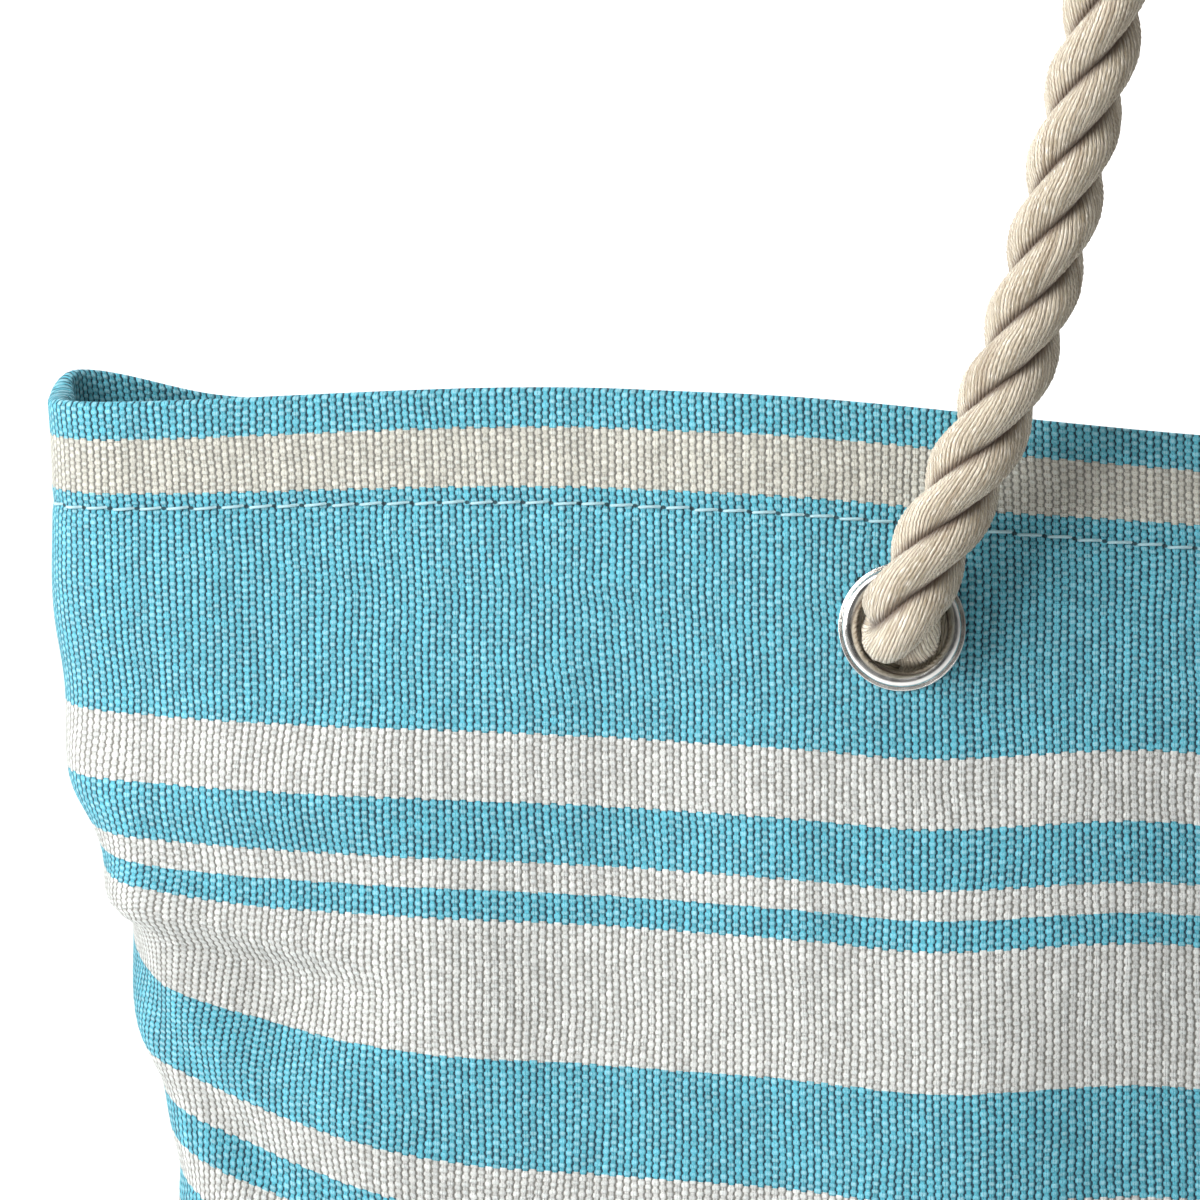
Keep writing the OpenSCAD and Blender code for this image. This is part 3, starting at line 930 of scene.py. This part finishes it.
def rope_material():
    """Natural cotton yarns; UV x counts yarns round a strand and UV y is the length in millimetres."""
    g = Graph("cotton_rope")
    x, y = g.uv("Weave")[1:]
    sway = g.times(g.minus(g.noise(g.vector(x, y), 0.09), 0.5), 1.6)
    at = g.plus(x, sway)
    yarn = g.calc("FLOOR", at)
    luck = g.luck({"W": yarn}, noise_dimensions="1D").outputs["Value"]
    ridge = g.calc("ABSOLUTE", g.calc("SINE", g.times(at, math.pi)))
    twist = g.calc("SINE", g.plus(g.times(y, 3.2), g.times(at, 8.0)))
    fibre = g.noise(g.vector(g.times(at, 4.0), g.times(y, 0.5)), 1.0, 5.0)
    streak = g.noise(g.vector(g.times(at, 0.9), g.times(y, 0.035)), 1.0, 3.0)
    round_yarn = g.times(g.calc("POWER", ridge, 0.6), 0.75)
    height = g.plus(round_yarn, g.times(twist, 0.06))
    height = g.plus(height, g.times(fibre, 1.1))
    light = g.blend(luck, (0.42, 0.345, 0.235, 1), (0.66, 0.58, 0.445, 1))
    light = g.blend(g.spread(fibre, 0.44, 0.68, 0.0, 0.9), light, (0.92, 0.86, 0.75, 1))
    light = g.blend(g.spread(streak, 0.47, 0.68, 0.0, 0.65), light, (0.30, 0.225, 0.145, 1))
    # Painted shade: dark brown between the yarns, where their ridges are low
    groove = g.times(g.spread(ridge, 0.0, 0.6, 0.9, 0.0), g.spread(luck, 0, 1, 0.5, 1.0))
    color = g.blend(groove, light, (0.17, 0.10, 0.055, 1))
    # Painted shade: darker brown towards the strands' edges, in the grooves between strands
    edge = g.uv("Groove")[1]
    color = g.blend(g.spread(edge, 0.66, 1.0, 0.0, 0.9), color, (0.10, 0.055, 0.03, 1))
    g.bump(height, 0.0005, 0.9)
    return g.finish(color, Roughness=0.85, Sheen_Weight=0.25)


def nickel_material():
    """Polished nickel plate with faint clouding."""
    g = Graph("eyelet_metal")
    where = g.node("TexCoord", {}).outputs["Object"]
    cloud = g.noise(where, 300, 3.0)
    fine = g.noise(where, 3200, 2.0)
    color = g.blend(g.spread(cloud, 0.3, 0.7), (0.70, 0.68, 0.65, 1), (0.80, 0.785, 0.76, 1))
    g.bump(fine, 0.000004, 0.2)
    return g.finish(color, Metallic=1.0, Roughness=g.spread(cloud, 0.3, 0.7, 0.18, 0.26))


def thread_material():
    """Two plies of thread twisted round each other."""
    g = Graph("stitching_thread")
    x, y = g.uv("Weave")[1:]
    ply = g.calc("SINE", g.times(g.plus(x, g.times(y, 2.0)), 7000))
    color = g.blend(g.spread(ply, -1, 1), (0.30, 0.58, 0.66, 1), (0.66, 0.84, 0.88, 1))
    g.bump(ply, 0.0001, 0.6)
    return g.finish(color, Roughness=0.6)


def paint(objects, material):
    for obj in objects:
        obj.data.materials.clear()
        obj.data.materials.append(material)


# --- Studio ----------------------------------------------------------------------------


def make_floor():
    bpy.ops.mesh.primitive_plane_add(size=30, location=(0, 6, -0.0005))
    obj = bpy.context.object
    obj.name = "studio_floor"
    g = Graph("studio_floor")
    where = g.node("TexCoord", {}).outputs["Object"]
    color = g.blend(g.noise(where, 3), (0.90, 0.90, 0.90, 1), (0.93, 0.93, 0.93, 1))
    paint([obj], g.finish(color, Roughness=0.9))
    obj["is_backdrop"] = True


def area_light(name, target, place, size, power):
    data = bpy.data.lights.new(name, "AREA")
    data.shape = "SQUARE"
    data.size = size
    data.energy = power
    lamp = bpy.data.objects.new(name, data)
    lamp.location = place
    aim(lamp, target)
    bpy.context.scene.collection.objects.link(lamp)


def dim_world():
    """Pale all round, and darker in front of the bag, as a room is behind a photographer."""
    world = bpy.data.worlds.new("studio")
    world.use_nodes = True
    bpy.context.scene.world = world
    nodes, links = world.node_tree.nodes, world.node_tree.links
    direction = nodes.new("ShaderNodeTexCoord").outputs["Generated"]
    parts = nodes.new("ShaderNodeSeparateXYZ")
    links.new(direction, parts.inputs[0])
    shade = nodes.new("ShaderNodeMapRange")
    for word, (value, start) in {"Min": WORLD_DARK, "Max": WORLD_PALE}.items():
        shade.inputs["From " + word].default_value = start
        shade.inputs["To " + word].default_value = value
    links.new(parts.outputs[1], shade.inputs["Value"])
    links.new(shade.outputs[0], nodes["Background"].inputs["Color"])
    nodes["Background"].inputs["Strength"].default_value = WORLD_LIGHT


def make_studio():
    make_floor()
    low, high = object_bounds()
    for name, lamp in LAMPS.items():
        area_light(name, (low + high) / 2, *lamp)
    place, size, power = BACKDROP
    area_light("backdrop", (*place[:2], 0), place, size, power)
    dim_world()
    view = bpy.context.scene.view_settings
    view.view_transform = "Standard"
    view.look = "None"


# --- The bag ---------------------------------------------------------------------------


def make_base():
    """The base's canvas and lining."""
    canvas = base_sheet("base_canvas", 0, CLOTH_T, 0.0)
    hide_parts("base_panel")
    under = CLOTH_T + GAP
    lining = base_sheet("base_lining_cloth", under, under + LINING_T, BASE_LINING_INSET)
    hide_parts("base_lining")
    return canvas, lining


def make_wall(side):
    """A side's canvas and lining."""
    canvas = canvas_wall(side)
    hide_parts(side["name"] + "_panel")
    lining = lining_wall(side)
    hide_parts(side["name"] + "_lining")
    return canvas, lining


def make_eyelets(side):
    """A side's eyelets, each a rolled ring and the washer behind it."""
    metal = []
    for word, hand in HANDS.items():
        name = f"{side['name']}_{word}"
        ring = lathe(name + "_rolled_eyelet", EYELET_OUTLINE, side, hand)
        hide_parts(name + "_eyelet")
        washer = lathe(name + "_back_washer", WASHER_OUTLINE, side, hand)
        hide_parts(name + "_washer")
        metal += [ring, washer]
    return metal


def build():
    place_camera()
    ropes = make_rope(FRONT, FRONT_ROUTE) + make_rope(BACK, BACK_ROUTE)
    base, base_lining = make_base()
    canvas, lining, thread, metal = [base], [base_lining], [], []
    for side in SIDES:
        wall, inner = make_wall(side)
        canvas.append(wall)
        lining.append(inner)
        thread.append(hem_stitches(side))
        metal += make_eyelets(side)
    for obj in canvas + lining + thread + metal:
        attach(obj, "root")
    finishes = (
        ("cotton_rope", ropes, rope_material()), ("striped_canvas", canvas, canvas_material()),
        ("lining", lining, lining_material()), ("stitching_thread", thread, thread_material()),
        ("eyelet_metal", metal, nickel_material()),
    )
    for slot, objects, material in finishes:
        paint(objects, material)


build()
make_studio()
